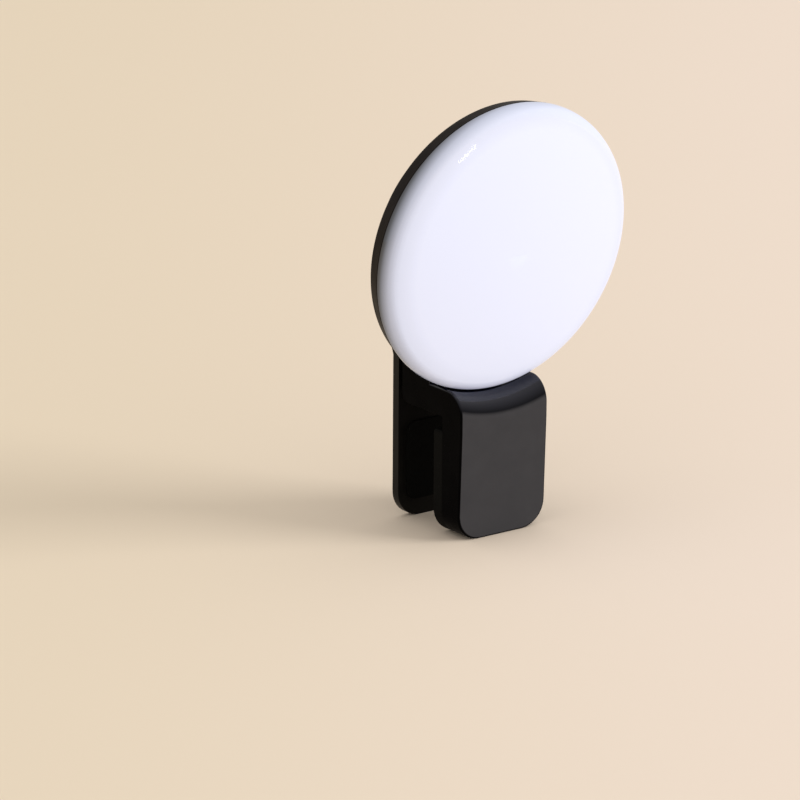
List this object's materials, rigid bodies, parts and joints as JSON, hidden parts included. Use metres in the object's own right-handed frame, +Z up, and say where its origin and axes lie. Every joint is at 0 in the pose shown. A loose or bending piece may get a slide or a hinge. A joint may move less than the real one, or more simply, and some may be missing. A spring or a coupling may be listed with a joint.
{
  "type": "clip-on selfie light",
  "caption": "Small round light with a milky domed diffuser in a thin black rim, on a sprung clip that grips a phone's edge.",
  "frame": {"origin": "where the screen side of the clip's gap meets the seat under the bridge, in the middle of the clip's width", "axes": "+X to the viewer's right when facing the light, -Y the way the light faces, +Z up away from the phone's edge"},
  "size_m": [0.0406, 0.023, 0.0603],
  "materials": {
    "clip_black": "gloss",
    "pad_rubber": "matte",
    "lever_black": "satin",
    "pin_steel": "ground",
    "washer_nylon": "matte",
    "spring_steel": "drawn wire",
    "housing_black": "satin",
    "diffuser_white": "milky satin",
    "board_white": "solder mask",
    "reflector_white": "satin",
    "led_yellow": "satin",
    "screw_steel": "turned",
    "cell_foil": "foil",
    "tape_yellow": "satin",
    "foam_grey": "foam",
    "lead_red": "satin",
    "lead_black": "satin",
    "socket_steel": "plated",
    "socket_black": "matte",
    "switch_black": "matte",
    "plunger_white": "matte",
    "button_black": "matte",
    "pipe_clear": "clear",
    "chip_black": "matte",
    "inductor_grey": "matte"
  },
  "bodies": {
    "clip": {"clip_body": "clip_black", "front_pad": "pad_rubber", "lever_pin": "pin_steel", "tilt_pin": "pin_steel", "tilt_washer_left": "washer_nylon", "tilt_washer_right": "washer_nylon", "torsion_spring": "spring_steel"},
    "lever": {"lever": "lever_black", "rear_pad": "pad_rubber"},
    "head": {"head_housing": "housing_black", "diffuser_dome": "diffuser_white", "led_board": "board_white", "reflector_sheet": "reflector_white", "leds": "led_yellow", "board_screws": "screw_steel", "battery_cell": "cell_foil", "battery_tape": "tape_yellow", "foam_pad": "foam_grey", "battery_lead_plus": "lead_red", "battery_lead_minus": "lead_black", "usb_shell": "socket_steel", "usb_core": "socket_black", "switch_base": "switch_black", "indicator_led": "led_yellow", "light_pipe": "pipe_clear", "chip": "chip_black", "inductor": "inductor_grey"},
    "button": {"power_button": "button_black", "switch_plunger": "plunger_white"}
  },
  "joints": [
    {"name": "lever_pivot", "type": "hinge", "parent": "clip", "child": "lever", "pos_m": [0, 0.00585, 0.0022], "axis": [1, 0, 0], "range_deg": [-22.5, 8], "stiffness_Nm_per_rad": 0.05, "springref_deg": -51.57, "deforming": ["torsion_spring"]},
    {"name": "head_tilt", "type": "hinge", "parent": "clip", "child": "head", "pos_m": [0, 0.00554, 0.00727], "axis": [-1, 0, 0], "range_deg": [0, 30]},
    {"name": "power_press", "type": "slide", "parent": "head", "child": "button", "axis": [0, -0.991, -0.134], "range_m": [0, 0.00025], "stiffness_N_per_m": 600, "springref_m": -0.0005}
  ]
}
